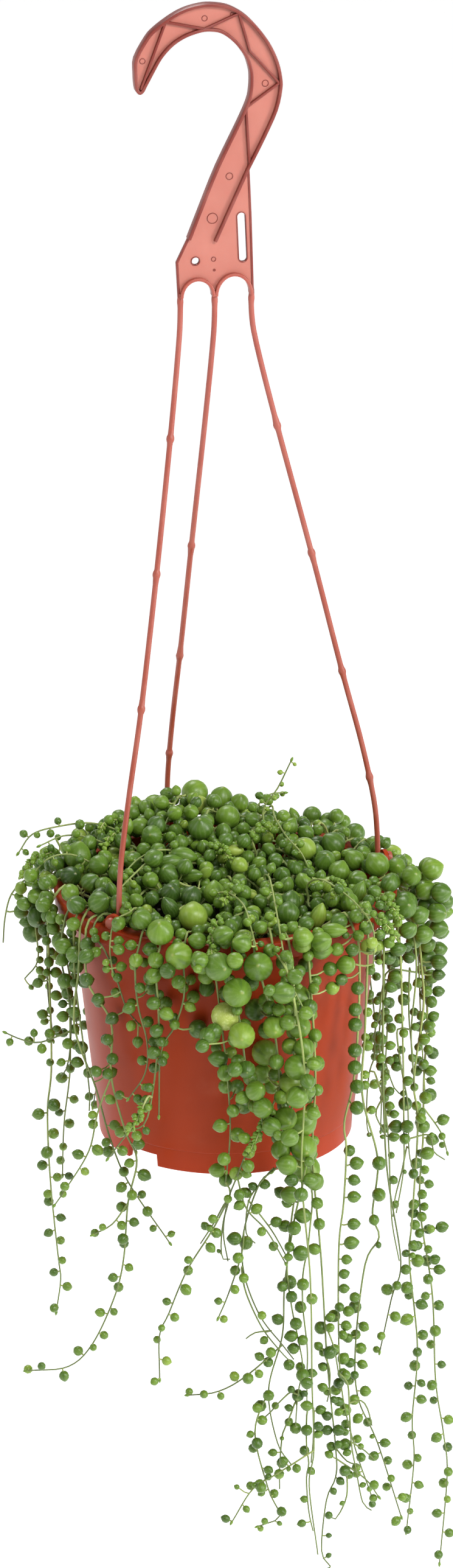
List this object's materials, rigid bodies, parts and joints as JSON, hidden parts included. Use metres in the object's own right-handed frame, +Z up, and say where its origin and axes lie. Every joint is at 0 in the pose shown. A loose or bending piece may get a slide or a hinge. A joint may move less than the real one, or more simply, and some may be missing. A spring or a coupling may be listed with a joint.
{
  "type": "potted string of pearls",
  "caption": "Trailing succulent with bead-like leaves, rooted in the soil of a tapered plastic pot that hangs from an arm hanger with a hook.",
  "frame": {"origin": "saddle of the hook, where the object hangs", "axes": "+Z up, -Y to the front, +X to the right"},
  "size_m": [0.2077, 0.1918, 0.7424],
  "materials": {
    "terracotta_plastic": "satin",
    "salmon_plastic": "satin",
    "potting_soil": "matte",
    "pearl_leaf": "waxy"
  },
  "bodies": {
    "root": {"crown_clump_1": "pearl_leaf", "crown_clump_2": "pearl_leaf", "crown_clump_3": "pearl_leaf", "crown_clump_4": "pearl_leaf", "crown_clump_5": "pearl_leaf", "crown_clump_6": "pearl_leaf", "crown_clump_7": "pearl_leaf", "crown_clump_8": "pearl_leaf", "hanger": "salmon_plastic", "hanging_pot": "terracotta_plastic", "soil": "potting_soil", "strand_back_01": "pearl_leaf", "strand_back_02": "pearl_leaf", "strand_back_03": "pearl_leaf", "strand_back_04": "pearl_leaf", "strand_back_05": "pearl_leaf", "strand_back_06": "pearl_leaf", "strand_back_07": "pearl_leaf", "strand_back_08": "pearl_leaf", "strand_back_09": "pearl_leaf", "strand_back_10": "pearl_leaf", "strand_back_11": "pearl_leaf", "strand_back_12": "pearl_leaf", "strand_back_13": "pearl_leaf", "strand_back_14": "pearl_leaf", "strand_back_15": "pearl_leaf", "strand_back_16": "pearl_leaf", "strand_back_17": "pearl_leaf", "strand_back_18": "pearl_leaf", "strand_front_1": "pearl_leaf", "strand_front_10": "pearl_leaf", "strand_front_2": "pearl_leaf", "strand_front_3": "pearl_leaf", "strand_front_4": "pearl_leaf", "strand_front_5": "pearl_leaf", "strand_front_6": "pearl_leaf", "strand_front_7": "pearl_leaf", "strand_front_8": "pearl_leaf", "strand_front_9": "pearl_leaf", "strand_left_1": "pearl_leaf", "strand_left_2": "pearl_leaf", "strand_left_3": "pearl_leaf", "strand_left_4": "pearl_leaf", "strand_left_5": "pearl_leaf", "strand_left_6": "pearl_leaf", "strand_left_7": "pearl_leaf", "strand_right_1": "pearl_leaf", "strand_right_2": "pearl_leaf", "strand_right_3": "pearl_leaf", "strand_right_4": "pearl_leaf", "strand_right_5": "pearl_leaf", "strand_right_6": "pearl_leaf", "strand_right_7": "pearl_leaf", "strand_right_8": "pearl_leaf", "upright_shoot": "pearl_leaf"}
  },
  "joints": []
}
